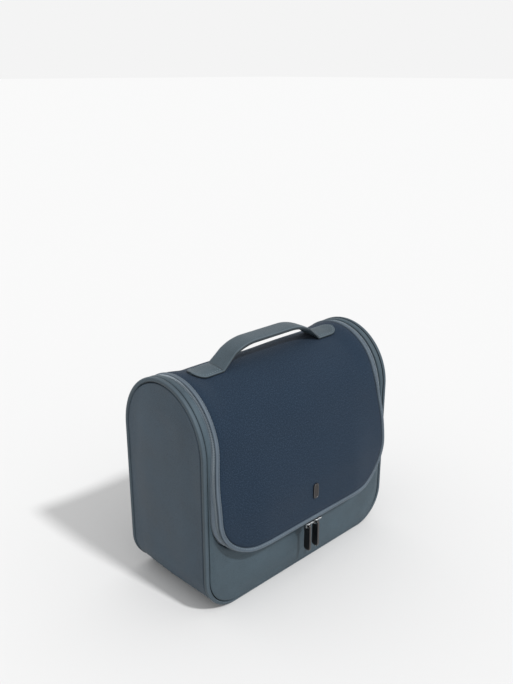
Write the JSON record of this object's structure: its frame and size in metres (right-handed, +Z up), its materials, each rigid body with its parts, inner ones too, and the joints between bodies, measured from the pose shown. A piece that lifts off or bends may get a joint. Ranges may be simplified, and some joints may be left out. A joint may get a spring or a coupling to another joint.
{
  "type": "shaving kit bag",
  "caption": "Upright toiletry bag with an arched top, a zipped lid hinged at the back, a flat carry handle and hanging zip pulls.",
  "frame": {"origin": "middle of the base's underside, halfway across the case's width and depth", "axes": "+X to the right seen from the front, +Y to the back where the lid's hinge is, +Z up"},
  "size_m": [0.26, 0.1362, 0.2431],
  "materials": {
    "front_leather": "grained matt synthetic leather, blue-grey",
    "gusset_leather": "grained matt synthetic leather, dark blue-grey",
    "edge_leather": "smooth folded edging with a stitch line",
    "handle_leather": "folded and stitched synthetic leather",
    "navy_cloth": "dense two-tone plain weave, navy",
    "lining_cloth": "thin dark twill",
    "pocket_mesh": "warp-knit mesh",
    "elastic": "ribbed elastic tape",
    "zip_tape": "herringbone zip tape",
    "zip_coil": "nylon coil",
    "board": "stiffening board",
    "bright_metal": "polished nickel",
    "dark_metal": "polished gunmetal"
  },
  "bodies": {
    "case": {"front_panel": "front_leather", "back_panel": "front_leather", "base_panel": "gusset_leather", "side_gusset_left": "gusset_leather", "side_gusset_right": "gusset_leather", "edge_band_left": "edge_leather", "edge_band_right": "edge_leather", "zip_tape_case": "zip_tape", "zip_coil_case": "zip_coil", "zip_end_tab_left": "front_leather", "zip_end_tab_right": "front_leather", "hinge_strip": "board", "lining_left": "lining_cloth", "lining_right": "lining_cloth", "lining_front": "lining_cloth", "lining_back": "lining_cloth", "lining_base": "lining_cloth", "base_board": "board", "inner_pocket": "pocket_mesh", "inner_pocket_elastic": "elastic"},
    "flap": {"flap_panel": "navy_cloth", "flap_binding": "edge_leather", "flap_lining": "lining_cloth", "zip_tape_flap": "zip_tape", "zip_coil_flap": "zip_coil", "flap_pocket": "pocket_mesh", "flap_pocket_binding": "elastic", "badge": "dark_metal", "handle_tab_left": "handle_leather", "handle_tab_right": "handle_leather"},
    "handle": {"handle_strap": "handle_leather"},
    "slider_left": {"slider_left": "bright_metal", "slider_bail_left": "bright_metal"},
    "slider_right": {"slider_right": "bright_metal", "slider_bail_right": "bright_metal"},
    "pull_left": {"pull_left": "dark_metal"},
    "pull_right": {"pull_right": "dark_metal"}
  },
  "joints": [
    {"name": "flap_hinge", "type": "hinge", "parent": "case", "child": "flap", "pos_m": [0, 0.058, 0.164], "axis": [-1, 0, 0], "range_deg": [0, 150]},
    {"name": "handle_lean", "type": "hinge", "parent": "flap", "child": "handle", "pos_m": [0, -0.0045, 0.232], "axis": [1, 0, 0], "range_deg": [-20, 20], "stiffness_Nm_per_rad": 0.05},
    {"name": "slider_left_run", "type": "slide", "parent": "case", "child": "slider_left", "axis": [-1, 0, 0], "range_m": [0, 0.05]},
    {"name": "slider_right_run", "type": "slide", "parent": "case", "child": "slider_right", "axis": [1, 0, 0], "range_m": [0, 0.05]},
    {"name": "pull_left_swing", "type": "hinge", "parent": "slider_left", "child": "pull_left", "pos_m": [-0.006, -0.07136, 0.053], "axis": [0, 1, 0], "range_deg": [-8, 85]},
    {"name": "pull_right_swing", "type": "hinge", "parent": "slider_right", "child": "pull_right", "pos_m": [0.006, -0.07136, 0.053], "axis": [0, -1, 0], "range_deg": [-8, 85]}
  ]
}
